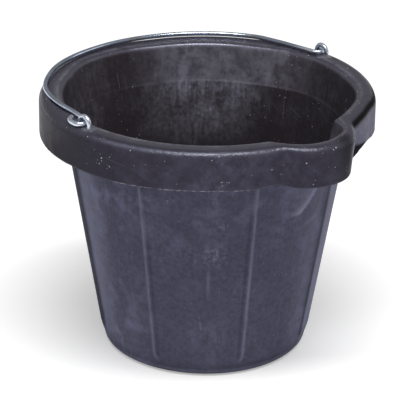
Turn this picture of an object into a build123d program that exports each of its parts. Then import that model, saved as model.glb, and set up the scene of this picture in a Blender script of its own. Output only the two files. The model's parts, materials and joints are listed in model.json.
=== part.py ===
"""Moulded rubber builders bucket with a pouring spout and a swinging wire bail.

Millimetres, +Z up. The origin is on the bucket's axis at the underside of its base.
The spout points to -Y, the two eyes stand on the rim at -X and +X, and the bail
lies on the rim on the +Y side, away from the spout.
"""
import os
from math import atan2, degrees, sqrt

from build123d import *

os.makedirs("parts", exist_ok=True)

# Bucket body; the wall's thickness is measured level
height = 280.0
rim_radius = 175.0
rim_width = 25.0
base_radius = 108.0
base_edge_radius = 11.0
base_thickness = 7.0
floor_corner_radius = 12.0
wall_thickness = 4.6

# Rim: a flat top with a skirt turned down around it, open below
skirt_height = 42.0
skirt_thickness = 4.0
skirt_edge_radius = 1.5
rim_top_thickness = 6.0
shoulder_radius = 10.0
ceiling_corner_radius = 3.0
lip_radius = 7.0

# Spout: the rim's bulge and the half-round channel that runs up to it
spout_projection = 22.0
spout_rim_width = 18.0
spout_skirt_radius = 52.0
spout_skirt_corner_radius = 14.0
spout_mouth_radius = 46.0
spout_corner_radius = 9.0
spout_depth = 97.0
spout_toe_radius = 12.0
spout_toe_overrun = 20.0

# Raised panels on the wall, with the depth that each is rooted in it
panel_count = 4
panel_angle = 48.0
panel_rise = 2.2
panel_root = 1.5
panel_foot = 14.0
panel_corner_radius = 9.0
panel_edge_radius = 2.0

# Wire eyes and the plates that hold them under the rim
eye_wire = 5.0
eye_bow_radius = 7.5
eye_leg_clearance = 0.1
eye_clinch_radius = 3.6
eye_clinch_tail = 7.0
plate_thickness = 2.5
plate_length = 36.0
plate_width = 8.4
plate_skirt_gap = 0.4
plate_corner_radius = 2.0
plate_hole_clearance = 0.3
plate_seat_gap = 0.05

# Bail
bail_wire = 5.0
bail_rim_gap = 0.4
bail_shoulder_radius = 60.0
hook_leg = 4.0
hook_curl_radius = 13.0
hook_curl_angle = 60.0
hook_tip_radius = 1.2

# Distance that one shape runs into or past another where they are joined or cut
overrun = 2.0

# Levels and lines of the wall and the rim
mouth_radius = rim_radius - rim_width
skirt_level = height - skirt_height
ceiling_level = height - rim_top_thickness
wall_slope = (mouth_radius + wall_thickness - base_radius) / height


def outer_radius(level):
    """Radius of the wall's outer face between the raised panels."""
    return base_radius + wall_slope * level


def inner_radius(level):
    """Radius of the wall's inner face."""
    return outer_radius(level) - wall_thickness


# Spout centres, measured from the axis towards -Y
spout_reach = rim_radius + spout_projection
spout_skirt_centre = spout_reach - spout_skirt_radius
spout_mouth_centre = spout_reach - spout_rim_width - spout_mouth_radius
spout_toe_level = height - spout_depth
spout_toe_centre = inner_radius(spout_toe_level) - spout_toe_radius

# The eyes stand over plates that lie in the hollow under the rim's top, close to the skirt
ceiling_outer = rim_radius - skirt_thickness - ceiling_corner_radius
eye_reach = ceiling_outer - plate_skirt_gap - plate_width / 2
eye_leg_places = [(side * eye_reach, leg * eye_bow_radius) for side in (-1, 1) for leg in (-1, 1)]
hinge_level = height + bail_rim_gap + bail_wire / 2
plate_level = ceiling_level - plate_seat_gap - plate_thickness
clinch_level = plate_level - eye_clinch_radius


def arc_about(centre, start, end):
    """Arc from start to end about a centre, the short way round."""
    bisector = (start - centre) + (end - centre)
    return ThreePointArc(start, centre + bisector.normalized() * (start - centre).length, end)


def spout_section(level, growth):
    """Centre and radius of the spout's sloping channel at a level, grown outwards by a wall."""
    share = (level - spout_toe_level) / spout_depth
    centre = spout_toe_centre + (spout_mouth_centre - spout_toe_centre) * share
    radius = spout_toe_radius + (spout_mouth_radius - spout_toe_radius) * share
    return centre, radius + growth


# Outline of the rim and its spout from above: two circles joined by tangent corner arcs
rim_to_corner = rim_radius + spout_skirt_corner_radius
spout_to_corner = spout_skirt_radius + spout_skirt_corner_radius
corner_y = (rim_to_corner**2 - spout_to_corner**2 + spout_skirt_centre**2) / (2 * spout_skirt_centre)
corner = Vector(sqrt(rim_to_corner**2 - corner_y**2), -corner_y)
spout_axis = Vector(0, -spout_skirt_centre)
rim_tangent = corner * (rim_radius / rim_to_corner)
spout_tangent = spout_axis + (corner - spout_axis) * (spout_skirt_radius / spout_to_corner)
with BuildSketch() as rim_outline:
    with BuildLine():
        ThreePointArc((0, rim_radius), (rim_radius, 0), rim_tangent)
        arc_about(corner, rim_tangent, spout_tangent)
        arc_about(spout_axis, spout_tangent, Vector(0, -spout_reach))
        mirror(about=Plane.YZ)
    make_face()


# Hollow under the rim's top, between the skirt and the wall
with BuildPart() as skirt_hollow:
    with BuildSketch(Plane.XY.offset(skirt_level - overrun)):
        add(rim_outline.sketch)
        offset(amount=-skirt_thickness)
    extrude(amount=ceiling_level - skirt_level + overrun)
    fillet(skirt_hollow.faces().sort_by(Axis.Z)[-1].edges(), ceiling_corner_radius)


# Inside of the bucket, with the spout's channel
with BuildPart() as inside:
    with BuildSketch(Plane.XZ):
        with BuildLine():
            Polyline(
                (0, base_thickness),
                (inner_radius(base_thickness), base_thickness),
                (inner_radius(height + overrun), height + overrun),
                (0, height + overrun),
                close=True,
            )
        make_face()
        fillet(vertices().group_by(Axis.Y)[0].sort_by(Axis.X)[-1], floor_corner_radius)
    revolve(axis=Axis.Z)
    for level in (spout_toe_level - spout_toe_overrun, height + overrun):
        centre, radius = spout_section(level, 0)
        with BuildSketch(Plane.XY.offset(level)):
            with Locations((0, -centre)):
                Circle(radius)
    loft()
    fillet(inside.edges().filter_by(GeomType.BSPLINE), spout_corner_radius)


# One raised panel, centred on +X
with BuildPart() as panel:
    with BuildSketch(Plane.XZ.rotated((0, 0, -panel_angle / 2))):
        with BuildLine():
            Polyline(
                (outer_radius(panel_foot) - panel_root, panel_foot),
                (outer_radius(panel_foot) + panel_rise, panel_foot),
                (outer_radius(ceiling_level + overrun) + panel_rise, ceiling_level + overrun),
                (outer_radius(ceiling_level + overrun) - panel_root, ceiling_level + overrun),
                close=True,
            )
        make_face()
    revolve(axis=Axis.Z, revolution_arc=panel_angle)
    fillet(panel.faces().sort_by(Axis.Z)[0].edges().filter_by(GeomType.LINE), panel_corner_radius)
    panel_front = panel.faces().filter_by(GeomType.CONE).sort_by(Face.area)[-1]
    fillet(panel_front.edges(), panel_edge_radius)


# Bucket body: one moulding
with BuildPart() as bucket_body:
    with BuildSketch(Plane.XY.offset(skirt_level)):
        add(rim_outline.sketch)
    extrude(amount=skirt_height)
    fillet(bucket_body.faces().sort_by(Axis.Z)[-1].edges(), shoulder_radius)
    fillet(bucket_body.faces().sort_by(Axis.Z)[0].edges(), skirt_edge_radius)
    add(skirt_hollow.part, mode=Mode.SUBTRACT)
    with BuildSketch(Plane.XZ):
        with BuildLine():
            Polyline(
                (0, 0),
                (base_radius, 0),
                (outer_radius(height - overrun), height - overrun),
                (0, height - overrun),
                close=True,
            )
        make_face()
        fillet(vertices().group_by(Axis.Y)[0].sort_by(Axis.X)[-1], base_edge_radius)
    revolve(axis=Axis.Z)
    for level in (spout_toe_level - spout_toe_overrun, height - overrun):
        centre, radius = spout_section(level, wall_thickness)
        with BuildSketch(Plane.XY.offset(level)):
            with Locations((0, -centre)):
                Circle(radius)
    loft()
    with PolarLocations(0, panel_count, start_angle=180 / panel_count):
        add(panel.part)
    add(inside.part, mode=Mode.SUBTRACT)
    rim_top = bucket_body.faces().filter_by(Plane.XY).sort_by(Axis.Z)[-1]
    fillet(rim_top.inner_wires()[0].edges(), lip_radius)
    with Locations(Plane.XY.offset(height)):
        with Locations(*eye_leg_places):
            Hole(eye_wire / 2 + eye_leg_clearance, depth=rim_top_thickness + overrun)
bucket_body.part.label = "bucket_body"
export_step(bucket_body.part, "parts/bucket_body.step")


# Wire eyes: bows whose legs go through the rim's top and are clinched under the plates
bend_y = eye_bow_radius + eye_clinch_radius
for side, name in ((-1, "left_eye"), (1, "right_eye")):
    eye_plane = Plane((side * eye_reach, 0, 0), x_dir=(0, 1, 0), z_dir=(1, 0, 0))
    with BuildPart() as eye:
        with BuildLine(eye_plane) as eye_path:
            CenterArc((0, hinge_level), eye_bow_radius, 0, 180)
            for leg in (-1, 1):
                Line((leg * eye_bow_radius, hinge_level), (leg * eye_bow_radius, plate_level))
                CenterArc((leg * bend_y, plate_level), eye_clinch_radius, 270, -90 * leg)
                Line((leg * bend_y, clinch_level), (leg * (bend_y + eye_clinch_tail), clinch_level))
        with BuildSketch(Plane(eye_path.wire() @ 0, z_dir=eye_path.wire() % 0)):
            Circle(eye_wire / 2)
        sweep(path=eye_path.wire())
    eye.part.label = name
    export_step(eye.part, f"parts/{name}.step")


# Backing plates: strips under the rim's top that the legs pass through
for side, name in ((-1, "left_backing_plate"), (1, "right_backing_plate")):
    with BuildPart() as plate:
        with BuildSketch(Plane.XY.offset(plate_level)):
            with Locations((side * eye_reach, 0)):
                RectangleRounded(plate_width, plate_length, plate_corner_radius)
                with Locations((0, -eye_bow_radius), (0, eye_bow_radius)):
                    Circle(eye_wire / 2 + plate_hole_clearance, mode=Mode.SUBTRACT)
        extrude(amount=plate_thickness)
    plate.part.label = name
    export_step(plate.part, f"parts/{name}.step")


# Bail: half of the wire, from the middle of its arc to the tip of its hook, and its mirror image
leg_reach = eye_reach - eye_bow_radius
shoulder_reach = leg_reach - bail_shoulder_radius
shoulder_y = sqrt((eye_reach - bail_shoulder_radius) ** 2 - shoulder_reach**2)
shoulder_angle = degrees(atan2(shoulder_y, shoulder_reach))
hook_reach = eye_reach + eye_bow_radius
curl_y = eye_bow_radius + hook_leg
with BuildPart() as bail:
    with BuildLine(Plane.XY.offset(hinge_level)) as bail_path:
        CenterArc((0, 0), eye_reach, 90, shoulder_angle - 90)
        CenterArc((shoulder_reach, shoulder_y), bail_shoulder_radius, shoulder_angle, -shoulder_angle)
        Line((leg_reach, shoulder_y), (leg_reach, eye_bow_radius))
        CenterArc((eye_reach, eye_bow_radius), eye_bow_radius, 180, 180)
        Line((hook_reach, eye_bow_radius), (hook_reach, curl_y))
        CenterArc((hook_reach - hook_curl_radius, curl_y), hook_curl_radius, 0, hook_curl_angle)
    with BuildSketch(Plane((0, eye_reach, hinge_level), z_dir=(1, 0, 0))):
        Circle(bail_wire / 2)
    sweep(path=bail_path.wire())
    tip = bail.faces().sort_by_distance(bail_path.wire() @ 1)[0]
    fillet(tip.edges(), hook_tip_radius)
    mirror(about=Plane.YZ)
bail.part.label = "bail"
export_step(bail.part, "parts/bail.step")
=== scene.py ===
"""Looks of the builders bucket: its rubber skin, its wire, and the studio around it.

Metres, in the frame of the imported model: +Z up, the spout to -Y, the eyes at -X and +X.
A turn is an angle about the bucket's axis, measured from the spout towards +X.
A reach is a distance from that axis, and a level is a height above the ground.
"""
import json
from functools import partial, reduce
from math import atan, atan2, cos, pi, radians, sin, sqrt, tan
from types import SimpleNamespace

import bpy
import numpy as np
from mathutils import Matrix, Vector


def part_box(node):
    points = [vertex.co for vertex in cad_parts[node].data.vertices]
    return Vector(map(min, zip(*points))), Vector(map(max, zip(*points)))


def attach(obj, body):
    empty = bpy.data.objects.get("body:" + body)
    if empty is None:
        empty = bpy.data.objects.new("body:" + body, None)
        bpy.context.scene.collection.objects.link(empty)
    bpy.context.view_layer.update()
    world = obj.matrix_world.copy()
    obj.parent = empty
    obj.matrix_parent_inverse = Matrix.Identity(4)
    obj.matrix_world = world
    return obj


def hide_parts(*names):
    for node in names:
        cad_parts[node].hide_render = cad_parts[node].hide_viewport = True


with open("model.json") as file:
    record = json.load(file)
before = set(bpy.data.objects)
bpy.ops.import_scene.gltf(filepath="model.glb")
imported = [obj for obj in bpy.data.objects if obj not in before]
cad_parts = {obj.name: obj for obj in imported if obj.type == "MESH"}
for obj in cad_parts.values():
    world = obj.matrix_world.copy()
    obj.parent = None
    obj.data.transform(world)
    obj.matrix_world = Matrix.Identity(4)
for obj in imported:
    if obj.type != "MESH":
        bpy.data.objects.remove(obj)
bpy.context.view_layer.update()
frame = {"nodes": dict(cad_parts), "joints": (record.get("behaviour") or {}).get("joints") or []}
body_low, body_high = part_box("bucket_body")
eye_low, eye_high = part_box("right_eye")

# Sizes of the bucket that the frame gives
height = body_high.z
rim_radius = body_high.x
spout_reach = -body_low.y
eye_reach = (eye_low.x + eye_high.x) / 2
hinge_level = frame["joints"][0]["pos_m"][2]

# Sizes of the moulding
rim_width = 0.025
base_radius = 0.108
base_edge_radius = 0.011
base_thickness = 0.007
floor_corner_radius = 0.012
wall_thickness = 0.0046
wall_sink = 0.0015
skirt_height = 0.042
skirt_thickness = 0.004
skirt_edge_radius = 0.0015
skirt_inner_edge_radius = 0.0008
rim_top_thickness = 0.006
shoulder_radius = 0.010
lip_radius = 0.007
flat_least = 0.001
radius_share_least = 0.3
ceiling_corner_radius = 0.003
spout_rim_width = 0.0168
spout_skirt_radius = 0.052
spout_skirt_blend = 0.005
spout_mouth_radius = 0.0455
spout_mouth_blend = 0.0075
spout_depth = 0.097
spout_toe_radius = 0.012
fairing_blend = 0.003
inside_line_level = 0.238
inside_line_step = 0.0003
inside_line_half = 0.002
inside_line_margin = 0.003

# Moulding flash along the skirt's lower edge
flash_seed = 7
flash_depth = 0.0006
flash_least = 0.4
flash_smoothing = 5
flash_foot = 0.0004
flash_width = 0.0005

# Raised panels
panel_count = 4
panel_angle = radians(48.8)
panel_rise = 0.0022
panel_foot = 0.014
panel_corner_radius = 0.009
riser_width = 0.005
foot_width = 0.018
least_length = 1e-6

# Wear: how far the rubber is pressed, dented, tucked or stretched out of true
oval_sway = 0.0006
square_sway = 0.0003
outer_back_press = 0.0065
inner_back_press = 0.0108
press_growth = 1.5
side_spread = 0.0038
mouth_side_bulge = 0.0038
beside_dent = 0.0037
tuck_depth = 0.007
crease_rise = 0.015
crease_slope = 0.0007
crease_end = 41
crease_softness = 0.0005
nose_side_lean = 0.0047
nose_lean_middle = 0.3
front_dent_depth = 0.0018
front_lift = 0.0008
left_corner_lift = 0.0030
right_lift = 0.0015
left_sag = 0.0016
flank_foot = 0.182

# Bail and eyes
bail_wire = 0.005
bail_shoulder_radius = 0.060
eye_bow_radius = 0.0075
hook_curl_radius = 0.013
left_tail, left_curl = 0.004, radians(60)
right_tail, right_curl = 0.003, radians(8)
bail_out = 0.0052
bail_lean = 0.005
bail_slack = 0.0025
arc_step = 0.001
least_step = 0.0003
leg_points = 24
tail_points = 8
wire_sides = 20
wire_end_angles = np.radians([20, 40, 60, 80])
wire_end_share = 0.6

# Levels and lines that follow from the sizes
mouth_radius = rim_radius - rim_width
skirt_level = height - skirt_height
ceiling_level = height - rim_top_thickness
shoulder_level = height - shoulder_radius
wall_slope = (mouth_radius + wall_thickness - base_radius) / height
wall_tilt = atan(wall_slope)
spout_skirt_centre = spout_reach - spout_skirt_radius
spout_mouth_centre = spout_reach - spout_rim_width - spout_mouth_radius
spout_toe_level = height - spout_depth

# Mesh of the skin: columns round the bucket, and rows from the underside to the inside's floor
column_count = 860
turn_samples = 20001
crowding = 2
corner_turn, corner_half_width = radians(16), radians(12)
riser_half_width = radians(3.5)
rows = {
    "underside": 8, "base_edge": 11, "wall": 66, "root": 9, "ceiling_corner": 5, "skirt_inside": 10,
    "inner_edge": 4, "outer_edge": 5, "skirt": 18, "shoulder": 15, "lip": 13, "above_line": 13, "line": 9,
    "inside": 56, "floor_corner": 9, "floor": 9,
}
flat_map_name = "OFBake"
skin_girth = 1.0
skin_length = 0.92
mark_names = (
    "wall", "riser", "rub", "fairing", "shoulder", "band", "scuff", "rim", "flat", "lip", "flash",
    "inner", "bloom", "dust", "ring", "grime", "smear", "pale", "chalk",
)

# Camera: the photograph's view, worked out from the outlines of rim, skirt and base
camera_turn = radians(-41.5)
camera_elevation = radians(23.9)
camera_distance = 2.675
camera_roll = radians(0.67)
camera_target = Vector((0, 0, height / 2))
photo_width = 400
focal_pixels = 2522
target_pixel = (206.05, 212.11)
sensor_width = 36

# Studio, with each lamp's degrees from the camera's turn, degrees up, distance, size and watts
world_level = 0.28
floor_radius = 120.0
floor_sides = 96
floor_lift = 0.36
far_floor_lift = 0.8
floor_lift_distances = (0.8, 3.5)
lamp_aim_share = 0.6
lamps = {
    "key": (8, 72, 3.5, (2.2, 0.8), 98),
    "left": (-100, 25, 2.6, (1.0, 1.6), 2),
    "right": (100, 25, 2.6, (1.0, 1.6), 5),
}

# Colours of the rubber
wall_colour = (0.079, 0.075, 0.112, 1)
# Wall's bluish film, also laid on as painted light at the wall's sides
wall_bloom_and_light_colour = (0.175, 0.181, 0.285, 1)
# Pale edge colour: painted highlights on the panels' edges and the fairing, and scuffs with a painted
# reflection
edge_light_and_scuff_colour = (0.195, 0.193, 0.280, 1)
# Pale: the colour of painted light on the wall, the spout's flank, the shoulder and the skirt's edges, and
# of a smear on the wall
pale_colour = (0.230, 0.240, 0.340, 1)
sheen_colour = (0.79, 0.81, 1.0, 1)
band_colour = (0.029, 0.025, 0.036, 1)
# Band's bluish film, also laid on as painted light on the band's front
band_bloom_and_light_colour = (0.125, 0.118, 0.180, 1)
# The rim flat's dusting, lightened further to stand in for reflected light
rim_dust_and_light_colour = (0.180, 0.170, 0.202, 1)
inner_colour = (0.030, 0.024, 0.030, 1)
# Dusting inside, also used as painted light on the far inside wall and above the line, and for the wall's
# chalk
dust_and_light_colour = (0.262, 0.252, 0.312, 1)
scratch_colour = (0.320, 0.320, 0.350, 1)
chip_colour = (0.640, 0.630, 0.620, 1)
smear_colour = (0.260, 0.260, 0.270, 1)
# Near-black: dark flecks of dirt, and all the painted shade
fleck_and_shade_colour = (0.004, 0.0035, 0.004, 1)

# Colours of the galvanised steel and of the studio
zinc_colour = (0.52, 0.59, 0.72, 1)
dull_zinc_colour = (0.30, 0.33, 0.40, 1)
stain_colour = (0.40, 0.36, 0.28, 1)
bright_zinc_colour = (0.70, 0.75, 0.86, 1)
worn_zinc_colour = (0.42, 0.45, 0.52, 1)
floor_colour = (0.86, 0.86, 0.86, 1)
floor_light_colour = (0.88, 0.88, 0.88, 1)
white = (1, 1, 1, 1)


def smooth_step(value, low, high):
    """0 below low, 1 above high and a soft ramp between them."""
    share = np.clip((value - low) / (high - low), 0, 1)
    return share * share * (3 - 2 * share)


def falling(value, start, end):
    """1 below start, 0 above end and a soft ramp between them."""
    return smooth_step(-value, -end, -start)


def span(value, rise, fall):
    """1 between a soft rise and a soft fall, each given by where it starts and ends."""
    return smooth_step(value, *rise) * falling(value, *fall)


def hump(value, centre, half_width):
    """1 at the centre, falling softly to 0 at the half width to each side."""
    share = np.clip(np.abs(value - centre) / half_width, 0, 1)
    return 0.5 + 0.5 * np.cos(pi * share)


def smooth_max(a, b, blend):
    """The larger of two values, rounded where they come within the blend of each other."""
    near = np.clip(blend - np.abs(a - b), 0, None)
    return np.maximum(a, b) + near * near / (4 * blend)


def column_turns():
    """Turns of the mesh's columns, closer together at the spout's corners and the panels' risers."""
    samples = np.linspace(-pi, pi, turn_samples)
    density = 1 + crowding * hump(np.abs(samples), corner_turn, corner_half_width)
    for index in range(panel_count):
        for side in (-1, 1):
            riser = (index + 0.5) * 2 * pi / panel_count + side * panel_angle / 2
            apart = (samples - riser + pi) % (2 * pi) - pi
            density += crowding * hump(apart, 0, riser_half_width)
    total = np.concatenate([[0], np.cumsum((density[1:] + density[:-1]) / 2)])
    wanted = np.linspace(0, total[-1], column_count, endpoint=False)
    return np.interp(wanted, total, samples)


# The columns' turns in radians, in degrees from -180 to 180, and in degrees from 0 to 360
turns = column_turns()
degrees = np.degrees(turns)
round_degrees = degrees % 360


# Outlines of the moulding, each as a reach at every column

def plan(reach):
    """Coordinates of an outline, seen from above."""
    return reach * np.sin(turns), -reach * np.cos(turns)


def circle_reach(centre, radius):
    """Reach of the far side of a circle that lies towards the spout."""
    inside = radius**2 - (centre * np.sin(turns)) ** 2
    found = centre * np.cos(turns) + np.sqrt(np.clip(inside, 0, None))
    return np.where((inside > 0) & (np.cos(turns) > 0), found, 0)


def moved_out(reach, distance):
    """An outline moved outwards along its own normals, given at the same turns again."""
    x, y = plan(reach)
    along_x = np.roll(x, -1) - np.roll(x, 1)
    along_y = np.roll(y, -1) - np.roll(y, 1)
    length = np.hypot(along_x, along_y)
    x, y = x + along_y / length * distance, y - along_x / length * distance
    found = np.arctan2(x, -y)
    order = np.argsort(found)
    return np.interp(turns, found[order], np.hypot(x, y)[order], period=2 * pi)


def width_between(reach, other):
    """Shortest way from each point of one outline to another outline."""
    x, y = plan(reach)
    other_x, other_y = plan(other)
    return np.hypot(x[:, None] - other_x[None, :], y[:, None] - other_y[None, :]).min(axis=1)


def outer_radius(level):
    return base_radius + wall_slope * level


def inner_radius(level):
    return outer_radius(level) - wall_thickness


spout_toe_centre = inner_radius(spout_toe_level) - spout_toe_radius


def channel_reach(level, growth):
    """Reach of the spout's sloping channel at a level, grown outwards by a wall."""
    share = (level - spout_toe_level) / spout_depth
    centre = spout_toe_centre + (spout_mouth_centre - spout_toe_centre) * share
    radius = spout_toe_radius + (spout_mouth_radius - spout_toe_radius) * share
    return circle_reach(centre, max(radius + growth, 0))


def panel_edge(level):
    """Distance out of the nearest panel's edge, and 1 where that edge is its foot."""
    pitch = 2 * pi / panel_count
    from_middle = np.abs((turns % pitch) - pitch / 2) * outer_radius(level)
    half = panel_angle / 2 * outer_radius(level)
    across = from_middle - (half - panel_corner_radius)
    below = panel_foot + panel_corner_radius - level
    corner = np.hypot(np.clip(across, 0, None), max(below, 0))
    edge = corner + np.minimum(np.maximum(across, below), 0) - panel_corner_radius
    return edge, np.arctan2(max(below, 0), np.clip(across, least_length, None)) / (pi / 2)


def panel_relief(level):
    """How far the raised panels stand out of the wall at a level, with a soft foot to each."""
    edge, towards_foot = panel_edge(level)
    width = riser_width + (foot_width - riser_width) * towards_foot
    return panel_rise * smooth_step(-edge / width, -0.5, 0.5)


def wall_outline(level):
    wall = outer_radius(level) - wall_sink + panel_relief(level)
    return smooth_max(wall, channel_reach(level, wall_thickness), fairing_blend)


def inside_outline(level):
    line = (inside_line_level - inside_line_half, inside_line_level + inside_line_half)
    wall = inner_radius(level) + inside_line_step * smooth_step(level, *line)
    return smooth_max(wall, channel_reach(level, 0), spout_mouth_blend)


spout_skirt_reach = circle_reach(spout_skirt_centre, spout_skirt_radius)
rim_outline = smooth_max(rim_radius, spout_skirt_reach, spout_skirt_blend)
skirt_inner = moved_out(rim_outline, -skirt_thickness)


# Rows of the skin

class Marks(dict):
    """Marks of one row, 0 where a mark isn't given."""

    def __missing__(self, name):
        return 0


class Skin:
    """Rows of the bucket's mesh, from the middle of the underside round to the middle of the floor."""

    def __init__(self):
        self.reach, self.level, self.marks = [], [], []

    def row(self, reach, level, **marks):
        self.reach.append(reach + 0 * turns)
        self.level.append(level + 0 * turns)
        self.marks.append(Marks(marks))


def riser_marks(level):
    """A painted highlight up the sides of the panels, a painted lighter strip beside it, and painted shade
    along the panels' edges, widest beside the spout.
    """
    edge, towards_foot = panel_edge(level)
    bright = span(degrees, (-105, -92), (6, 14))
    fade = falling(towards_foot, 0.25, 0.85)
    beside_spout = (degrees > 10) & (degrees < 36)
    wide_groove = 0.6 * hump(edge, -0.0050, 0.0060)
    thin_groove = 0.25 * hump(edge, -0.0055, 0.0030)
    return {
        "riser": hump(edge, 0.0002, 0.0037) * fade * (0.1 + 0.9 * bright),
        "rub": hump(edge, -0.0040, 0.0050) * fade * smooth_step(level, 0.12, 0.20) * bright,
        "groove_shade": np.where(beside_spout, wide_groove, thin_groove) * fade,
    }


def fairing_marks(level):
    """The swelling of the wall behind the spout's channel, which carries a painted highlight, and its paler
    flank at the right, a painted highlight too.
    """
    swell = channel_reach(level, wall_thickness) - outer_radius(level)
    above = max(level - flank_foot, 0)
    left_end = 0.5 + 470 * (above - 0.009)
    right_end = 1 + 10 * sqrt(above / 0.015)
    flank = span(degrees, (left_end - 5, left_end + 6), (right_end - 1.5, right_end))
    return {"fairing": smooth_step(swell, 0.001, 0.006), "flank": flank * (above > 0)}


def add_underside(skin):
    """The flat underside and the base's rounded edge."""
    edge_middle = base_radius - base_edge_radius * tan((pi / 2 - wall_tilt) / 2)
    for share in np.linspace(0.02, 0.985, rows["underside"]):
        skin.row(edge_middle * share, 0)
    for angle in np.linspace(-pi / 2, -wall_tilt, rows["base_edge"]):
        level = base_edge_radius * (1 + sin(angle))
        relief = (panel_relief(level) - wall_sink) * smooth_step(level, 0, base_edge_radius)
        skin.row(edge_middle + base_edge_radius * cos(angle) + relief, level, wall=1)


def add_wall(skin):
    """The wall, up into the hollow under the rim, and the hollow's ceiling."""
    wall_start = base_edge_radius * (1 - sin(wall_tilt))
    for level in np.linspace(wall_start, skirt_level, rows["wall"])[1:]:
        skin.row(wall_outline(level), level, wall=1, **fairing_marks(level), **riser_marks(level))
    for level in np.linspace(skirt_level, ceiling_level, rows["root"])[1:]:
        skin.row(wall_outline(level), level, root=1)
    wall_top = wall_outline(ceiling_level)
    ceiling_end = moved_out(skirt_inner, -ceiling_corner_radius)
    for share in (0.3, 0.7):
        skin.row(wall_top + (ceiling_end - wall_top) * share, ceiling_level, root=1 - share)
    for angle in np.linspace(pi / 2, 0, rows["ceiling_corner"]):
        reach = moved_out(skirt_inner, ceiling_corner_radius * (cos(angle) - 1))
        skin.row(reach, ceiling_level - ceiling_corner_radius * (1 - sin(angle)))


def flash_depths():
    """Uneven depth of the moulding flash round the skirt's edge."""
    noise = np.random.default_rng(flash_seed).random(column_count)
    even = np.ones(flash_smoothing) / flash_smoothing
    smoothed = np.convolve(np.tile(noise, 3), even, "same")[column_count:-column_count]
    return flash_depth * (flash_least + smoothed)


def add_skirt(skin):
    """The skirt's inner face, its lower edge with a thin line of flash, and its outer face."""
    inner_top = ceiling_level - ceiling_corner_radius
    inner_end = skirt_level + skirt_inner_edge_radius
    for level in np.linspace(inner_top, inner_end, rows["skirt_inside"])[1:]:
        skin.row(skirt_inner, level, skirt=1)
    for angle in np.linspace(pi, 1.5 * pi, rows["inner_edge"])[1:]:
        reach = moved_out(rim_outline, skirt_inner_edge_radius * (1 + cos(angle)) - skirt_thickness)
        skin.row(reach, skirt_level + skirt_inner_edge_radius * (1 + sin(angle)), band=1, skirt=1)
    flash_level = skirt_level - flash_depths()
    skin.row(moved_out(rim_outline, -skirt_edge_radius - flash_foot), skirt_level, band=1, skirt=1)
    for out in (-skirt_edge_radius, -skirt_edge_radius + flash_width):
        skin.row(moved_out(rim_outline, out), flash_level, band=1, flash=1, skirt=1)
    for angle in np.linspace(-pi / 3, 0, rows["outer_edge"]):
        reach = moved_out(rim_outline, skirt_edge_radius * (cos(angle) - 1))
        skin.row(reach, skirt_level + skirt_edge_radius * (1 + sin(angle)), band=1, skirt=1)
    for level in np.linspace(skirt_level + skirt_edge_radius, shoulder_level, rows["skirt"])[1:]:
        skin.row(rim_outline, level, band=1, skirt=1)


def radius_share(width):
    """Share of the shoulder's and the lip's radius that a rim of some width has room for."""
    return np.clip((width - flat_least) / (shoulder_radius + lip_radius), radius_share_least, 1)


def add_rim(skin):
    """The shoulder, the flat of the rim and the lip."""
    mouth = inside_outline(height)
    tilt = np.arctan((mouth - inside_outline(height - lip_radius)) / lip_radius)
    shoulder_fit = radius_share(width_between(rim_outline, mouth))
    lip_fit = lip_radius * radius_share(width_between(mouth, rim_outline))
    for angle in np.linspace(0, pi / 2, rows["shoulder"])[1:]:
        reach = moved_out(rim_outline, shoulder_radius * shoulder_fit * (cos(angle) - 1))
        level = shoulder_level + shoulder_radius * (1 - shoulder_fit * (1 - sin(angle)))
        rim, crest = smooth_step(angle, 0, pi / 3), hump(angle, 1.2, 0.4)
        shoulder = span(angle, (0.2, 0.4), (0.8, 1.15))
        skin.row(reach, level, band=1, rim=rim, shoulder=shoulder, crest=crest, outside=1)
    lip_run = lip_fit * np.tan((pi / 2 - tilt) / 2)
    flat_start = moved_out(rim_outline, -shoulder_radius * shoulder_fit)
    flat_end = moved_out(mouth, lip_run)
    for share in (0.25, 0.5, 0.75):
        reach = flat_start + (flat_end - flat_start) * share
        skin.row(reach, height, band=1, rim=1, flat=share**3, mouth=share, outside=1 - share)
    for share in np.linspace(0, 1, rows["lip"]):
        angle = pi / 2 + share * (pi / 2 - tilt)
        inner = smooth_step(share, 0.3, 0.95)
        reach = moved_out(mouth, lip_run + lip_fit * np.cos(angle))
        level = height - lip_fit * (1 - np.sin(angle))
        flat, lip = falling(share, 0, 0.4), hump(share, 0.5, 0.5)
        skin.row(reach, level, band=1 - inner, inner=inner, rim=1 - inner, flat=flat, lip=lip, mouth=1)


def add_inside(skin):
    """The inside, with its faint line, and the floor."""
    lip_end = height - lip_radius * (1 - sin(wall_tilt))
    floor_middle = inner_radius(base_thickness) - floor_corner_radius * tan((pi / 2 - wall_tilt) / 2)
    corner_top = base_thickness + floor_corner_radius * (1 - sin(wall_tilt))
    line, half, margin = inside_line_level, inside_line_half, inside_line_margin
    levels = np.concatenate([
        np.linspace(lip_end, line + margin, rows["above_line"])[1:],
        np.linspace(line + half, line - half, rows["line"]),
        np.linspace(line - margin, corner_top, rows["inside"]),
    ])
    for level in levels:
        skin.row(inside_outline(level), level, inner=1, mouth=1)
    for angle in np.linspace(-wall_tilt, -pi / 2, rows["floor_corner"])[1:]:
        level = base_thickness + floor_corner_radius * (1 + sin(angle))
        skin.row(floor_middle + floor_corner_radius * cos(angle), level, inner=1, mouth=1)
    for share in np.linspace(0.96, 0.02, rows["floor"]):
        skin.row(floor_middle * share, base_thickness, inner=1)


def bucket_skin():
    skin = Skin()
    for add_rows in (add_underside, add_wall, add_skirt, add_rim, add_inside):
        add_rows(skin)
    return skin


# Wear of the shape

def skirt_depth(level):
    """0 at the shoulder and above, 1 at the skirt's lower edge and below."""
    return np.clip((shoulder_level - level) / (shoulder_level - skirt_level), 0, 1)


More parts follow.
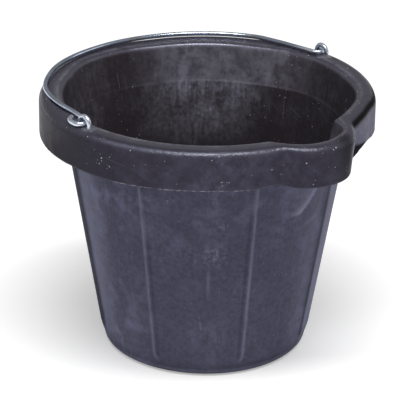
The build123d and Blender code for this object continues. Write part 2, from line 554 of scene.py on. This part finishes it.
def worn_shape(skin):
    """Presses the skin a little out of true, as rubber is that has been stacked and dragged about, and
    paints shade into the skirt tucked in beside the spout.
    """
    from_side = turns - (camera_turn + pi / 2)
    sway = oval_sway * np.sin(2 * from_side) + square_sway * np.sin(4 * from_side)
    outer_press = outer_back_press * span(round_degrees, (98, 122), (158, 186))
    inner_press = inner_back_press * span(round_degrees, (87, 122), (156, 190))
    spread = side_spread * np.maximum(hump(degrees, 48, 24), 0.9 * hump(round_degrees, 198, 15))
    mouth_bulge = mouth_side_bulge * hump(degrees, 11.5, 7)
    front = hump(degrees, -40, 34)
    lift = front_lift * front + left_corner_lift * hump(degrees, -18.5, 7)
    lift += right_lift * hump(degrees, 44, 9) - left_sag * hump(degrees, -118, 26)
    beside = beside_dent * span(degrees, (14, 20), (34, 46))
    tuck = tuck_depth * span(degrees, (15, 28), (38, 46))
    # Painted shade: the skirt tucked in beside the spout is darkened nearly to black below its crease
    tuck_shade = 0.95 * span(degrees, (14, 17), (38, 41))
    crease = skirt_level + np.clip((crease_end - degrees) * crease_slope, 0, crease_rise)
    nose_lean = nose_side_lean * span(degrees, (4, 13), (17, 26))
    for reach, level, marks in zip(skin.reach, skin.level, skin.marks):
        low = skirt_depth(level)
        mouth = marks["mouth"]
        outside = marks.get("outside", marks["skirt"])
        reach += sway * reach / rim_radius
        press = outer_press + (inner_press - outer_press) * mouth
        reach -= press * np.clip(level / height, 0, 1) ** press_growth
        reach += spread * marks.get("root", mouth) * smooth_step(level, 0.225, 0.272)
        reach += mouth_bulge * mouth * smooth_step(level, 0.2, 0.27)
        below = np.clip((crease - level) / (crease - skirt_level + crease_softness), 0, 1)
        reach -= outside * (beside + (tuck - beside) * below)
        reach += nose_lean * outside * (nose_lean_middle - low)
        if marks["skirt"]:
            # Painted shade below the tuck's crease, then the front's dent and the lower edge's lift
            marks["grime"] = tuck_shade * smooth_step(crease - level, -0.0008, 0.0024)
            reach -= front_dent_depth * front * low**2
            level += low * lift
    return skin


# Strength of each kind of mark round the bucket

# Dusting inside, partly painted light: most on the far inside wall that faces the key lamp, and lighter all
# round above the faint line
back_dust_and_light = 0.12 + 0.88 * span(round_degrees, (106, 126), (151, 180))
back_dust_and_light += 0.14 * hump(round_degrees, 206, 28) + 0.1 * hump(round_degrees, 85, 32)
ring_dust_and_light = span(round_degrees, (76, 116), (148, 178))
line_dust_and_light = 0.6 * span(round_degrees, (84, 112), (132, 160)) + 0.1 * falling(round_degrees, 165, 195)
corner_dust = 0.45 * hump(degrees, 14, 6)
# The rim's flat: dusting, lightened further as painted reflection, most at the front-left
rim_dust_and_light = 0.86 + 0.14 * span(round_degrees, (140, 185), (262, 300)) + 0.22 * hump(degrees, -74, 26)

# Painted shade: a dark line on the rim's crest at the back and the front, a painted dark reflection along
# the shoulder right of the spout, the spout's shaded right side, and darker band and wall at the left
back_crest_shade = 0.55 * span(round_degrees, (95, 112), (182, 200))
front_crest_shade = 0.3 * span(degrees, (-95, -75), (-8, 4))
shoulder_painted_shade = 0.97 * span(degrees, (15, 18), (50, 72))
spout_side_shade = span(degrees, (-2, 5), (5.5, 10.5))
left_wall_shade = 0.58 * span(degrees, (-142, -118), (-111.8, -109.6))
left_band_shade = 0.36 * span(degrees, (-130, -110), (-104, -84))

# Painted light: lit strips up the wall's left and right sides, a soft lit patch on the right and a low one
# on the left, a painted reflection on the skirt's edge right of the spout and at the left, and a painted
# highlight on the front-left shoulder
wall_pale = 0.85 * span(degrees, (-112, -110), (-112, -86)) + 0.76 * span(degrees, (24.2, 26.2), (34, 58))
soft_wall_pale = 0.22 * span(degrees, (2, 20), (34, 60))
low_wall_pale = 0.16 * span(degrees, (-112, -108), (-84, -62))
skirt_pale = 0.55 * span(degrees, (6, 10), (11, 18)) + 0.26 * span(degrees, (-170, -128), (-128, -110))
shoulder_pale = 0.36 * span(degrees, (-87, -72), (-60, -46))
# Scuffs on the skirt right of the spout, made lighter as a painted reflection
band_scuff_and_reflection = span(degrees, (16, 20), (46, 74))

# Bluish film, partly painted light: more on the band's front, and on the wall's sides, most low down
band_bloom_and_front_light = 0.1 + 0.5 * span(degrees, (-100, -62), (115, 175)) + 0.6 * hump(degrees, -42, 32)
wall_bloom_and_side_light = 0.5 + 0.5 * falling(degrees, -95, -62) + 0.35 * smooth_step(degrees, 0, 20)
wall_bloom_and_side_light -= 0.15 * falling(degrees, -178, -132)
low_wall_side_light = 0.75 * (falling(degrees, -90, -66) + smooth_step(degrees, 5, 26))

# Smears and chalk on the wall's front: strength, turn, half width, level and half height
wall_smears = ((0.5, -40.1, 1.4, 0.117, 0.027), (0.10, -39.5, 8, 0.152, 0.026))
wall_chalk = ((0.75, -40, 12, 0.151, 0.020), (0.45, -36, 8, 0.185, 0.013))


def round_marks(table, level):
    """Sum of the round marks of a table, at a level."""
    return sum(
        strength * hump(degrees, turn, wide) * hump(level, middle, tall)
        for strength, turn, wide, middle, tall in table
    )


def dust_marks(marks, level):
    """Dusting inside, partly painted light: settled in patches, most on the far wall that faces the key
    lamp, even all round above the line where painted light brightens it, and in the mouth's corner.
    """
    above_line = smooth_step(level, inside_line_level - 0.001, inside_line_level + 0.001)
    settled = back_dust_and_light * smooth_step(level, 0.150, 0.208) * (0.80 - 0.52 * above_line * ring_dust_and_light)
    ring = 1.4 * ring_dust_and_light * above_line + line_dust_and_light * hump(level, inside_line_level, 0.0018)
    corner = corner_dust * smooth_step(level, 0.236, 0.266)
    return {"dust": marks["inner"] * settled, "ring": marks["inner"] * (ring + corner)}


def painted_shade_marks(marks, level, outside, shaded):
    """Painted shade in the tucked skirt beside the spout, along the rim's edges, on the spout's side and
    the band's left, at the foot and up the wall's left side, and in the panels' grooves.
    """
    # Painted shade: a contact shadow at the foot, a dark line where the base's rounding meets the wall, and
    # shade up the wall's left side
    foot = 0.6 * falling(level, 0.0005, 0.003) + 0.25 * hump(level, 0.0105, 0.0035)
    left_side = left_wall_shade * smooth_step(level, 0.012, 0.030)
    kinds = (
        marks["grime"],
        shoulder_painted_shade * marks["shoulder"],
        (back_crest_shade + front_crest_shade) * marks["crest"],
        0.62 * shaded,
        left_band_shade * outside * skirt_depth(level),
        np.maximum(foot, left_side) * marks["wall"],
        marks["groove_shade"],
    )
    return {"grime": reduce(np.maximum, kinds)}


def pale_marks(marks, level):
    """Pale places, mostly painted light: lit strips and patches on the wall and along the base's rounding,
    a smear on the wall, a painted highlight on the spout's flank and the shoulder, a painted reflection on
    the skirt's edges, and chalky marks.
    """
    above_foot = smooth_step(level, 0.012, 0.030)
    strips = np.maximum(wall_pale * (0.35 + 0.65 * above_foot), 1.15 * marks["flank"])
    # Smeared marks on the wall's front, and painted light: a lit strip on the base's rounding and lit
    # patches on the wall
    smears_and_painted_light = round_marks(wall_smears, level) + 0.3 * hump(level, 0.0055, 0.0035)
    smears_and_painted_light += soft_wall_pale + low_wall_pale * falling(level, 0.03, 0.11)
    chalk = round_marks(wall_chalk, level)
    upper_shoulder = hump(level, shoulder_level + 0.0078, 0.0034) * marks["shoulder"]
    rim_painted_light = shoulder_pale * upper_shoulder + skirt_pale * marks["skirt"]
    return {"pale": np.maximum(strips, smears_and_painted_light) * marks["wall"] + rim_painted_light, "chalk": chalk * marks["wall"]}


def bloom_marks(marks, level, shaded):
    """Bluish film with painted light in it: thinner on the spout's dark side as painted shade, thicker high
    on the wall, and thicker at the wall's sides, most low down, and on the band's front as painted light.
    """
    on_wall = 0.5 + 0.6 * smooth_step(level, 0.12, 0.21) + low_wall_side_light * falling(level, 0.03, 0.10)
    bloom = band_bloom_and_front_light * (1 - 0.9 * shaded) * marks["band"] + wall_bloom_and_side_light * on_wall * marks["wall"]
    return {"bloom": bloom}


def rim_marks(marks, reach):
    """Scuffs on the skirt, with a painted reflection where they lie right of the spout, a dusting and
    painted light on the rim's flat, and zinc worn off round the eyes' legs.
    """
    x, y = plan(reach)
    from_leg = np.hypot(np.abs(x) - eye_reach, np.abs(y) - eye_bow_radius)
    return {
        "scuff": band_scuff_and_reflection * marks["skirt"] * marks["band"],
        "flat": rim_dust_and_light * marks["flat"],
        "smear": falling(from_leg, 0.003, 0.010) * marks["rim"],
    }


def settle_marks(skin):
    """Adds the dusting inside, the painted shade, the pale places and painted light, the bluish film, and
    the rim's marks.
    """
    for reach, level, marks in zip(skin.reach, skin.level, skin.marks):
        outside = marks.get("outside", marks["skirt"] * marks["band"])
        # Painted shade on the spout's right side, which also thins the bluish film there
        shaded = spout_side_shade * outside * (1 - 0.45 * skirt_depth(level))
        marks.update(
            **dust_marks(marks, level),
            **painted_shade_marks(marks, level, outside, shaded),
            **pale_marks(marks, level),
            **bloom_marks(marks, level, shaded),
            **rim_marks(marks, reach),
        )
    return skin


# Meshes

def place_object(name, data):
    made = bpy.data.objects.new(name, data)
    bpy.context.scene.collection.objects.link(made)
    return made


def smooth_mesh(name, points, faces):
    mesh = bpy.data.meshes.new(name)
    mesh.from_pydata(points.tolist(), [], faces)
    mesh.polygons.foreach_set("use_smooth", np.ones(len(mesh.polygons), bool))
    return mesh


def add_values(mesh, name, values):
    """Gives the mesh a named value at each point, for its material."""
    attribute = mesh.attributes.new(name, "FLOAT", "POINT")
    attribute.data.foreach_set("value", np.asarray(values, np.float32))


def stacked(*values):
    """Values side by side along a last axis, each spread to the shape of them all."""
    return np.stack(np.broadcast_arrays(*values), axis=-1)


def skin_mesh(name, skin):
    """One closed mesh of the rows, with a flat map and a value at each point for each mark."""
    row_count = len(skin.reach)
    reach, level = np.array(skin.reach), np.array(skin.level)
    points = stacked(*plan(reach), level)
    centres = [(0, 0, level[0, 0]), (0, 0, level[-1, 0])]
    along = np.linalg.norm(np.diff(points, axis=0), axis=-1).mean(axis=1)
    profile = np.concatenate([[0], np.cumsum(along)]) + reach[0].mean()
    profile /= profile[-1] + reach[-1].mean()
    column = np.arange(column_count)
    after = (column + 1) % column_count
    share = (turns - turns[0]) / (2 * pi)
    share_after = np.append(share[1:], 1)
    middle = (share + share_after) / 2
    here = column_count * np.arange(row_count - 1)[:, None]
    above = here + column_count
    bottom, last = row_count * column_count, (row_count - 1) * column_count
    faces = stacked(here + column, here + after, above + after, above + column).reshape(-1, 4).tolist()
    faces += stacked(bottom, after, column).tolist()
    faces += stacked(bottom + 1, last + column, last + after).tolist()
    low, high = profile[:-1, None], profile[1:, None]
    corners = (
        ((share, low), (share_after, low), (share_after, high), (share, high)),
        ((middle, 0), (share_after, profile[0]), (share, profile[0])),
        ((middle, 1), (share, profile[-1]), (share_after, profile[-1])),
    )
    places = [np.stack([stacked(*corner) for corner in kind], axis=-2).ravel() for kind in corners]
    mesh = smooth_mesh(name, np.concatenate([points.reshape(-1, 3), centres]), faces)
    flat_map = mesh.uv_layers.new(name=flat_map_name)
    flat_map.data.foreach_set("uv", np.concatenate(places).astype(np.float32))
    for mark in mark_names:
        values = [marks[mark] + 0 * turns for marks in skin.marks]
        centre_values = [0, mark == "inner"]
        add_values(mesh, mark, np.concatenate([*values, centre_values]))
    mesh.validate()
    return place_object(name, mesh)


def arc(centre, radius, start, end):
    """Points along an arc in the plane of the rim, about one for each millimetre."""
    count = int(abs(end - start) * radius / arc_step) + 2
    angles = np.linspace(start, end, count)
    return stacked(centre[0] + radius * np.cos(angles), centre[1] + radius * np.sin(angles))


def bail_half(tail, curl):
    """Half of the bail, from the middle of its arc round its hook to the tip."""
    leg_reach = eye_reach - eye_bow_radius
    hook_reach = eye_reach + eye_bow_radius
    shoulder_reach = leg_reach - bail_shoulder_radius
    shoulder_y = sqrt((eye_reach - bail_shoulder_radius) ** 2 - shoulder_reach**2)
    shoulder_angle = atan2(shoulder_y, shoulder_reach)
    curl_y = eye_bow_radius + tail
    points = np.concatenate([
        arc((0, 0), eye_reach, pi / 2, shoulder_angle),
        arc((shoulder_reach, shoulder_y), bail_shoulder_radius, shoulder_angle, 0),
        np.linspace((leg_reach, shoulder_y), (leg_reach, eye_bow_radius), leg_points)[1:-1],
        arc((eye_reach, eye_bow_radius), eye_bow_radius, pi, 2 * pi),
        np.linspace((hook_reach, eye_bow_radius), (hook_reach, curl_y), tail_points)[1:-1],
        arc((hook_reach - hook_curl_radius, curl_y), hook_curl_radius, 0, curl),
    ])
    steps = np.linalg.norm(np.diff(points, axis=0), axis=1)
    return points[np.concatenate([[True], steps > least_step])]


def bail_path():
    """The wire's middle line, bent in beside the eyes and out over the rim's edge at the left."""
    right = bail_half(right_tail, right_curl)
    left = bail_half(left_tail, left_curl) * (-1, 1)
    points = np.concatenate([left[:0:-1], right])
    from_back = np.degrees(np.arctan2(-points[:, 0], points[:, 1]))
    bent = bail_out * span(from_back, (0, 34), (49, 65))
    bent -= bail_lean * hump(np.abs(from_back), 74, 15)
    bent -= bail_slack * span(from_back, (-80, -66), (-25, 5))
    reach = np.linalg.norm(points, axis=1)
    points = points * (1 + bent / reach)[:, None]
    return np.column_stack([points, np.full(len(points), hinge_level)])


def wire_mesh(name, path, radius):
    """A round wire along a flat path, with rounded ends, and a value for where the hooks wear it."""
    ahead = np.gradient(path, axis=0)
    ahead /= np.linalg.norm(ahead, axis=1)[:, None]
    aside = np.cross(ahead, (0, 0, 1))
    rings = [(place, side, radius) for place, side in zip(path, aside)]
    for angle in wire_end_angles:
        size, out = radius * cos(angle), radius * wire_end_share * sin(angle)
        rings.insert(0, (path[0] - ahead[0] * out, aside[0], size))
        rings.append((path[-1] + ahead[-1] * out, aside[-1], size))
    around = np.arange(wire_sides)
    after = (around + 1) % wire_sides
    angles = around * 2 * pi / wire_sides
    points = [
        place + size * (np.outer(np.cos(angles), side) + np.outer(np.sin(angles), (0, 0, 1)))
        for place, side, size in rings
    ]
    last_ring = (len(rings) - 1) * wire_sides
    here = np.arange(0, last_ring, wire_sides)[:, None]
    above = here + wire_sides
    faces = stacked(here + around, above + around, above + after, here + after).reshape(-1, 4).tolist()
    faces += [around.tolist(), (last_ring + around[::-1]).tolist()]
    mesh = smooth_mesh(name, np.concatenate(points), faces)
    near_hook = [1 - smooth_step(place[1], 0.012, 0.040) for place, side, size in rings]
    add_values(mesh, "rubbed_and_lit", np.repeat(near_hook, wire_sides))
    mesh.validate()
    return place_object(name, mesh)


# Materials

class Shader:
    """A material's nodes, with short calls for the kinds used here."""

    def __init__(self, name):
        self.material = bpy.data.materials.new(name)
        self.material.use_nodes = True
        self.tree = self.material.node_tree
        self.tree.nodes.clear()
        self.place = self.node("TexCoord").outputs["Object"]
        self.flat = None

    def use_flat_map(self):
        """Makes the flat map available, in metres."""
        place = self.node("UVMap", uv_map=flat_map_name).outputs[0]
        self.flat = self.scaled(place, (skin_girth, skin_length, 0))

    def node(self, kind, inputs=None, **settings):
        made = self.tree.nodes.new("ShaderNode" + kind)
        for name, value in settings.items():
            setattr(made, name, value)
        for socket, value in (inputs or {}).items():
            self.put(made.inputs[socket], value)
        return made

    def put(self, socket, value):
        if isinstance(value, bpy.types.NodeSocket):
            self.tree.links.new(value, socket)
        else:
            socket.default_value = value

    def mark(self, name):
        return self.node("Attribute", attribute_name=name).outputs["Fac"]

    def scaled(self, vector, factors):
        return self.node("VectorMath", {0: vector, 1: factors}, operation="MULTIPLY").outputs[0]

    def noise(self, scale, detail=3, roughness=0.5, vector=None, distortion=0.0):
        inputs = {"Vector": vector or self.place, "Scale": scale, "Detail": detail}
        inputs |= {"Roughness": roughness, "Distortion": distortion}
        return self.node("TexNoise", inputs).outputs["Fac"]

    def flat_noise(self, across, up, detail=4, roughness=0.6):
        """Noise on the flat map, with so many waves for each metre across and up."""
        return self.noise(1, detail, roughness, self.scaled(self.flat, (across, up, 0)))

    def ramp(self, value, low, high, start=0.0, end=1.0):
        inputs = {"Value": value, "From Min": low, "From Max": high, "To Min": start, "To Max": end}
        return self.node("MapRange", inputs, interpolation_type="SMOOTHSTEP").outputs["Result"]

    def calc(self, operation, a, b=0.0):
        return self.node("Math", {0: a, 1: b}, operation=operation).outputs[0]

    def times(self, *values):
        return reduce(lambda a, b: self.calc("MULTIPLY", a, b), values)

    def plus(self, *values):
        return reduce(lambda a, b: self.calc("ADD", a, b), values)

    def minus(self, a, b):
        return self.calc("SUBTRACT", a, b)

    def larger(self, *values):
        return reduce(lambda a, b: self.calc("MAXIMUM", a, b), values)

    def mix(self, factor, a, b):
        return self.node("Mix", {0: factor, 6: a, 7: b}, data_type="RGBA").outputs[2]

    def layered(self, base, *layers):
        """Lays colours over a base in order, each as strongly as the product of its amounts."""
        for top, *amounts in layers:
            base = self.mix(self.times(*amounts), base, top)
        return base

    def specks(self, scale, size, share):
        """Small spots, one in some of the cells of a grid of that scale."""
        cells = self.node("TexVoronoi", {"Vector": self.place, "Scale": scale})
        chosen = self.node("SeparateColor", {0: cells.outputs["Color"]}).outputs
        spot = self.calc("LESS_THAN", cells.outputs["Distance"], self.times(chosen[1], size))
        return self.times(spot, self.calc("LESS_THAN", chosen[0], share))

    def scratches(self, scale, length, width, share, lean, spread):
        """Thin straight marks on the flat map, one in some cells, near one direction."""
        cells = self.node("TexVoronoi", {"Vector": self.flat, "Scale": scale}, voronoi_dimensions="2D")
        chosen = self.node("SeparateColor", {0: cells.outputs["Color"]}).outputs
        offset = self.node("VectorMath", {0: self.flat, 1: cells.outputs["Position"]}, operation="SUBTRACT")
        local = self.node("SeparateXYZ", {0: offset.outputs[0]}).outputs
        angle = self.ramp(chosen[1], 0.0, 1.0, lean - spread, lean + spread)
        along_x, along_y = self.calc("COSINE", angle), self.calc("SINE", angle)
        along = self.plus(self.times(local[0], along_x), self.times(local[1], along_y))
        across = self.minus(self.times(local[1], along_x), self.times(local[0], along_y))
        inside = self.calc("LESS_THAN", self.calc("ABSOLUTE", along), self.times(chosen[2], length))
        line = self.ramp(self.calc("ABSOLUTE", across), width * 0.3, width, 1.0, 0.0)
        return self.times(line, inside, self.calc("LESS_THAN", chosen[0], share))

    def bump(self, value, distance, strength=1.0, normal=None):
        inputs = {"Height": value, "Distance": distance, "Strength": strength}
        if normal:
            inputs["Normal"] = normal
        return self.node("Bump", inputs).outputs["Normal"]

    def finish(self, sockets):
        shader = self.node("BsdfPrincipled", sockets)
        self.node("OutputMaterial", {"Surface": shader.outputs["BSDF"]})
        return self.material


def rubber_grain(make):
    """Ramps of the noise that the rubber's layers share, from coarse to fine, and blotches made of it."""
    noises = {
        "cloud": make.noise(8, detail=6, roughness=0.62),
        "middle": make.noise(24, detail=6, roughness=0.65),
        "fine": make.noise(70, detail=6, roughness=0.7),
        "tiny": make.noise(230, detail=4, roughness=0.6),
        "runs": make.flat_noise(110, 9, detail=5),
    }
    grain = SimpleNamespace(**{name: partial(make.ramp, noise) for name, noise in noises.items()})
    blotches = make.plus(grain.cloud(0.4, 0.62), grain.middle(0.42, 0.66))
    grain.patch = make.times(blotches, 0.5, grain.fine(0.3, 0.68))
    return grain


def bloom_layers(make, on, grain):
    """Plain rubber, its bluish film with painted light, a dusting and painted light on the rim's flat,
    drips, pale places that are mostly painted light, and chalky places.
    """
    blots = make.ramp(make.noise(38, detail=5, roughness=0.6, distortion=0.6), 0.44, 0.64)
    blots = make.times(blots, grain.fine(0.3, 0.62))
    smudge = make.plus(make.times(blots, 0.85), make.times(grain.patch, 0.4))
    film = make.plus(make.times(grain.patch, 0.5), grain.fine(0.2, 0.8, 0.1, 0.3))
    below_rim = make.minus(1.0, make.times(on.rim, 0.75))
    drips = make.times(grain.runs(0.5, 0.72), grain.middle(0.38, 0.62))
    return [
        (band_colour, on.band),
        (inner_colour, on.inner),
        (wall_bloom_and_light_colour, smudge, on.wall, on.bloom),
        (band_bloom_and_light_colour, film, on.band, on.bloom, below_rim),
        (rim_dust_and_light_colour, grain.fine(0.3, 0.7), on.flat, 0.6),
        (wall_bloom_and_light_colour, drips, on.wall, 0.3),
        (wall_bloom_and_light_colour, grain.tiny(0.35, 0.7), on.wall, 0.3),
        (pale_colour, on.pale, grain.fine(0.2, 0.65, 0.55, 1.0)),
        (dust_and_light_colour, on.chalk, grain.tiny(0.46, 0.62), grain.fine(0.4, 0.6)),
    ]


def fleck_and_edge_light_layers(make, on, grain):
    """Dark flecks, painted highlights on the panels' edges and the fairing, and the scuffed skirt with a
    painted reflection on it.
    """
    dark = make.times(grain.tiny(0.52, 0.72), grain.middle(0.6, 0.4))
    rubbed_and_lit = make.plus(
        on.riser,
        make.times(on.rub, grain.middle(0.4, 0.62), 0.6),
        make.times(on.fairing, grain.middle(0.38, 0.6), 0.35),
    )
    uneven = grain.middle(0.3, 0.6, 0.6, 1.0)
    hatch = make.ramp(make.flat_noise(330, 190, roughness=0.65), 0.15, 0.75, 0.35, 1.0)
    return [
        (fleck_and_shade_colour, dark, make.larger(on.wall, on.band), 0.22),
        (edge_light_and_scuff_colour, rubbed_and_lit, grain.fine(0.15, 0.55), uneven),
        (edge_light_and_scuff_colour, on.scuff, hatch, 0.78),
    ]


def dust_layers(make, on, grain):
    """Dusting inside with painted light in it: streaked where it has settled, even above the line, and
    faint run marks all round.
    """
    streaks = make.ramp(make.flat_noise(260, 26), 0.36, 0.62, 0.5, 1.45)
    settled = make.plus(
        make.times(grain.runs(0.3, 0.7), 0.14),
        make.times(grain.patch, streaks),
        make.times(grain.tiny(0.3, 0.7), 0.3),
    )
    even = make.plus(make.times(grain.patch, 0.32), grain.fine(0.3, 0.7, 0.14, 0.38))
    return [
        (dust_and_light_colour, settled, on.dust),
        (dust_and_light_colour, even, on.ring),
        (dust_and_light_colour, grain.runs(0.4, 0.7), grain.cloud(0.4, 0.62), on.inner, 0.035),
    ]


def damage_layers(make, on, grain, lines, spots):
    """Scratches, chips, frayed flash, zinc smeared round the eyes' legs, and the painted shade over all of
    it.
    """
    shown = make.ramp(make.larger(on.band, make.times(on.inner, 0.4)), 0.0, 1.0, 0.22, 0.8)
    return [
        (scratch_colour, lines, 0.28),
        (chip_colour, spots, shown),
        (chip_colour, on.flash, grain.middle(0.48, 0.58), grain.tiny(0.4, 0.6)),
        (smear_colour, on.smear, grain.fine(0.3, 0.6), 0.45),
        (fleck_and_shade_colour, on.grime, 0.95),
    ]


def scratch_lines(make, on):
    """Scratches: upright on the wall and inside, level on the band, and a few in any direction."""
    upright = make.scratches(30, length=0.018, width=0.0005, share=0.5, lean=pi / 2, spread=0.2)
    level = make.scratches(34, length=0.014, width=0.0005, share=0.35, lean=0, spread=0.6)
    stray = make.scratches(24, length=0.012, width=0.0004, share=0.5, lean=0.8, spread=1.6)
    lines = make.larger(
        make.times(upright, make.larger(on.wall, on.inner)),
        make.times(level, on.band, 0.5),
        make.times(stray, make.ramp(on.inner, 0.0, 1.0, 0.3, 1.0)),
    )
    return make.times(lines, make.ramp(make.noise(12, roughness=0.55), 0.47, 0.62))


def chip_spots(make):
    """Pale chips: small ones in groups, with a few larger and a few finer ones anywhere."""
    grouped = make.ramp(make.flat_noise(16, 55), 0.54, 0.62)
    many = make.times(make.specks(330, size=0.26, share=0.35), grouped)
    large = make.specks(150, size=0.12, share=0.032)
    small = make.specks(480, size=0.26, share=0.03)
    return make.larger(many, large, small)


def rubber_roughness(make, on, grain):
    """Smoother on the band, the rim and the lip, rougher under patches, under the painted shade and where
    dusty.
    """
    roughness = grain.fine(0.3, 0.7, 0.4, 0.52)
    for mark, smoother in ((on.band, 0.06), (on.rim, 0.08), (on.lip, 0.09)):
        roughness = make.minus(roughness, make.times(mark, smoother))
    covered = make.times(make.larger(on.grime, on.dust), 0.15)
    return make.plus(roughness, make.times(grain.patch, 0.1), covered)


def rubber_sheen(make, on):
    """Strong on the rim and the lip, weak on the wall, and less under painted shade, scuffs and pale
    strips.
    """
    sheen = make.plus(
        make.ramp(make.larger(on.rim, on.lip), 0.0, 1.0, 0.02, 0.76),
        make.times(on.lip, 0.3),
        make.times(make.larger(on.band, on.inner), 0.06),
    )
    clean = make.minus(1.0, on.grime)
    whole = make.minus(1.0, make.times(make.plus(on.scuff, on.pale), 0.7))
    return make.times(sheen, clean, whole)


def rubber_relief(make, on, spots, lines):
    """Fine grain, soft waves, dimples on the shoulder, and the chips and scratches."""
    grain = make.bump(make.noise(700, roughness=0.6), distance=0.00008)
    waves = make.bump(make.noise(60, detail=4), 0.0005, strength=0.5, normal=grain)
    dents = make.noise(330, detail=2)
    dimples = make.bump(dents, 0.0008, strength=make.times(on.shoulder, 0.7), normal=waves)
    return make.bump(make.minus(spots, lines), 0.00012, strength=0.5, normal=dimples)


def rubber():
    """Dark moulded rubber: a bluish film outside, a dusting and run marks inside, scuffs and pale specks,
    and painted light and painted shade laid into its colour.
    """
    make = Shader("rubber")
    make.use_flat_map()
    on = SimpleNamespace(**{name: make.mark(name) for name in mark_names})
    grain = rubber_grain(make)
    lines, spots = scratch_lines(make, on), chip_spots(make)
    layers = bloom_layers(make, on, grain) + fleck_and_edge_light_layers(make, on, grain) + dust_layers(make, on, grain)
    layers += damage_layers(make, on, grain, lines, spots)
    return make.finish({
        "Base Color": make.layered(wall_colour, *layers),
        "Roughness": rubber_roughness(make, on, grain),
        "Specular IOR Level": rubber_sheen(make, on),
        "Specular Tint": sheen_colour,
        "Normal": rubber_relief(make, on, spots, lines),
    })


def galvanised(name, dull):
    """Zinc-coated steel, bluish and dull, with yellower stains, and bright where it is worn."""
    make = Shader(name)
    rubbed_and_lit = make.mark("rubbed_and_lit")
    patches = make.ramp(make.noise(30), 0.42, 0.66)
    stain = make.ramp(make.noise(45), 0.54, 0.7)
    base = make.layered(
        zinc_colour,
        (dull_zinc_colour, patches, dull),
        (stain_colour, stain, 0.5),
        (bright_zinc_colour, rubbed_and_lit),
    )
    roughness = make.ramp(make.noise(40, detail=2), 0.3, 0.7, 0.16, 0.24)
    roughness = make.plus(roughness, make.times(rubbed_and_lit, 0.14))
    return make.finish({"Base Color": base, "Metallic": 1.0, "Roughness": roughness})


def rubbed_wire():
    """The same steel on the eyes, worn bright by the bail's hooks."""
    make = Shader("rubbed_wire")
    patches = make.ramp(make.noise(90), 0.45, 0.7)
    base = make.layered(bright_zinc_colour, (worn_zinc_colour, patches, 0.4))
    roughness = make.ramp(make.noise(120), 0.3, 0.7, 0.3, 0.4)
    normal = make.bump(make.noise(300, detail=2), 0.00003, strength=0.3)
    return make.finish({"Base Color": base, "Metallic": 1.0, "Roughness": roughness, "Normal": normal})


# Studio and camera

def direction(turn, elevation):
    """The way from the bucket towards a turn and an elevation."""
    return Vector((sin(turn) * cos(elevation), -cos(turn) * cos(elevation), sin(elevation)))


def add_lamp(name, from_camera, up, distance, size, power):
    """A soft rectangular lamp round the object, turned towards it."""
    data = bpy.data.lights.new(name, "AREA")
    data.shape = "RECTANGLE"
    data.size, data.size_y = size
    data.energy = power
    lamp = place_object(name, data)
    away = direction(camera_turn + radians(from_camera), radians(up))
    lamp.location = Vector((0, 0, height * lamp_aim_share)) + away * distance
    lamp.rotation_mode = "QUATERNION"
    lamp.rotation_quaternion = (-away).to_track_quat("-Z", "Y")


def floor_material():
    """A pale floor that keeps the shadow, lifted to white for the camera and in reflections."""
    make = Shader("floor")
    grey = make.mix(make.noise(3, roughness=0.55), floor_colour, floor_light_colour)
    diffuse = make.node("BsdfDiffuse", {"Color": grey})
    rays = make.node("LightPath").outputs
    seen = make.larger(rays["Is Camera Ray"], rays["Is Glossy Ray"], rays["Is Transmission Ray"])
    far = make.node("VectorMath", {0: make.place}, operation="LENGTH").outputs["Value"]
    lift = make.times(seen, make.ramp(far, *floor_lift_distances, floor_lift, far_floor_lift))
    glow = make.node("Emission", {"Color": white, "Strength": lift})
    both = make.node("AddShader", {0: diffuse.outputs[0], 1: glow.outputs[0]})
    make.node("OutputMaterial", {"Surface": both.outputs[0]})
    return make.material


def add_studio():
    """White surroundings, the floor and soft lamps."""
    world = bpy.data.worlds.new("studio")
    bpy.context.scene.world = world
    world.use_nodes = True
    background = world.node_tree.nodes["Background"]
    background.inputs["Color"].default_value = white
    background.inputs["Strength"].default_value = world_level

    bpy.ops.mesh.primitive_circle_add(vertices=floor_sides, radius=floor_radius, fill_type="NGON")
    floor = bpy.context.object
    floor.name = "floor"
    floor.data.materials.append(floor_material())

    for name, lamp in lamps.items():
        add_lamp(name, *lamp)


def facing(way):
    """The camera's rotation when it looks along a way, with its roll."""
    return way.to_track_quat("-Z", "Y").to_matrix() @ Matrix.Rotation(camera_roll, 3, "Z")


def add_camera():
    data = bpy.data.cameras.new("camera")
    data.sensor_width = sensor_width
    data.lens = focal_pixels / photo_width * sensor_width
    camera = place_object("camera", data)
    away = direction(camera_turn, camera_elevation)
    rotation = facing(-away)
    metres_per_pixel = camera_distance / focal_pixels
    off_x = (photo_width / 2 - target_pixel[0]) * metres_per_pixel
    off_y = (target_pixel[1] - photo_width / 2) * metres_per_pixel
    place = camera_target + away * camera_distance
    aim = camera_target + rotation.col[0] * off_x + rotation.col[1] * off_y
    camera.location = place
    camera.rotation_mode = "QUATERNION"
    camera.rotation_quaternion = facing(aim - place).to_quaternion()
    bpy.context.scene.camera = camera


def dress(node, material):
    """Gives a carried-over node its material."""
    slots = frame["nodes"][node].data.materials
    slots.clear()
    slots.append(material)


# The pieces

body = skin_mesh("bucket_skin", settle_marks(worn_shape(bucket_skin())))
body.data.materials.append(rubber())
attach(body, "bucket")
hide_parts("bucket_body")

wire = galvanised("galvanised_wire", dull=0.5)
eye_wire = rubbed_wire()
for node in ("left_eye", "right_eye"):
    dress(node, eye_wire)
handle = wire_mesh("bail_wire", bail_path(), bail_wire / 2)
handle.data.materials.append(wire)
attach(handle, "bail")
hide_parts("bail")
plate = galvanised("plate_steel", dull=0.7)
for node in ("left_backing_plate", "right_backing_plate"):
    dress(node, plate)

add_studio()
add_camera()
bpy.context.scene.view_settings.view_transform = "Standard"
